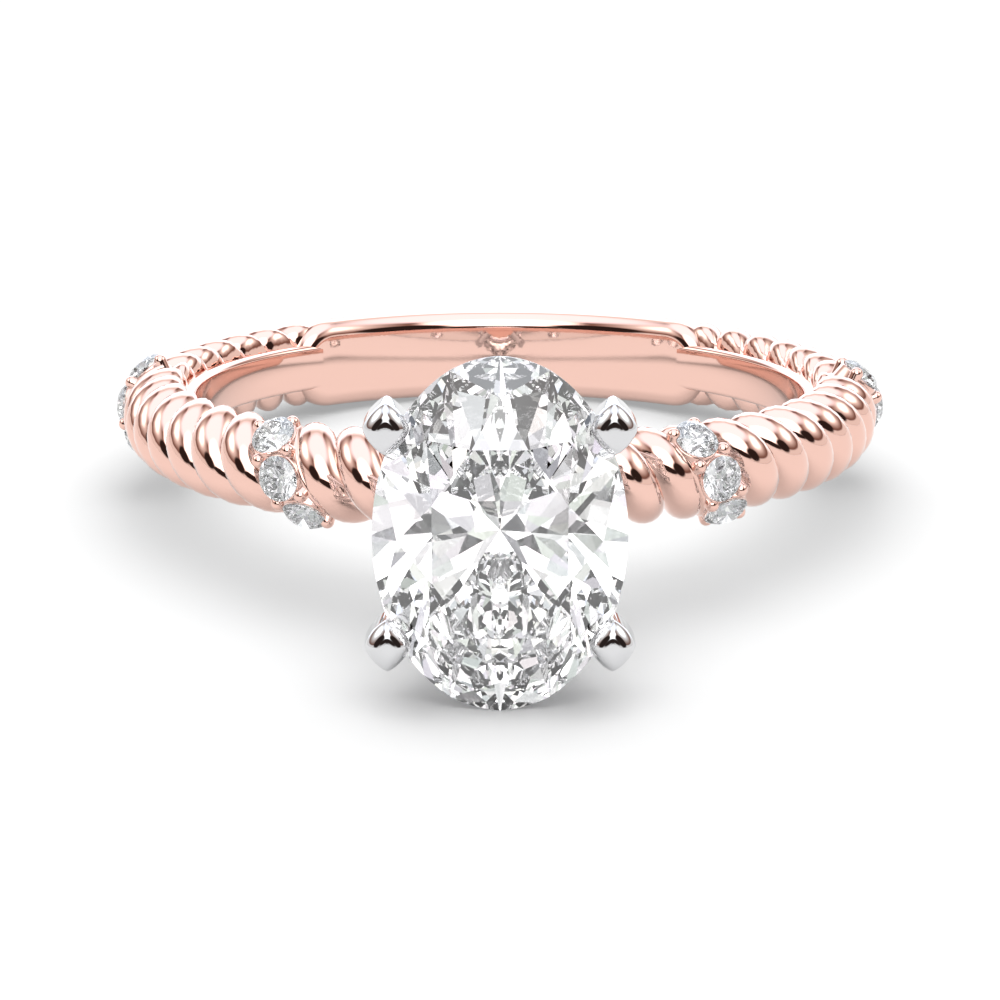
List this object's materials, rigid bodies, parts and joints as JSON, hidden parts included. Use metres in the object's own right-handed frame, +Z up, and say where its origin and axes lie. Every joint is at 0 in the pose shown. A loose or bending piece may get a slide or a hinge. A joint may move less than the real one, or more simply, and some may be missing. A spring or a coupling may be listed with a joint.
{
  "type": "twisted shank ring",
  "caption": "Finger ring with a twisted rope shank on an inner sleeve, a smooth back bar, wraps of small round stones, and a prong head that holds an oval brilliant.",
  "frame": {"origin": "middle of the ring's footprint, on the surface that the ring lies on", "axes": "+Z up, the head and its stone point to -Y, the finger goes through close to +Z"},
  "size_m": [0.021, 0.026, 0.0083],
  "materials": {
    "rose_gold": "polished rose gold",
    "white_gold": "polished white gold",
    "centre_stone": "cut and polished clear diamond",
    "accent_stone": "cut and polished clear diamond"
  },
  "bodies": {
    "root": {"shank": "rose_gold", "head": "white_gold", "centre_stone": "centre_stone", "accent_front_left_1": "accent_stone", "accent_front_left_2": "accent_stone", "accent_front_left_3": "accent_stone", "accent_front_right_1": "accent_stone", "accent_front_right_2": "accent_stone", "accent_front_right_3": "accent_stone", "accent_side_left_1": "accent_stone", "accent_side_left_2": "accent_stone", "accent_side_left_3": "accent_stone", "accent_side_right_1": "accent_stone", "accent_side_right_2": "accent_stone", "accent_side_right_3": "accent_stone"}
  },
  "joints": []
}
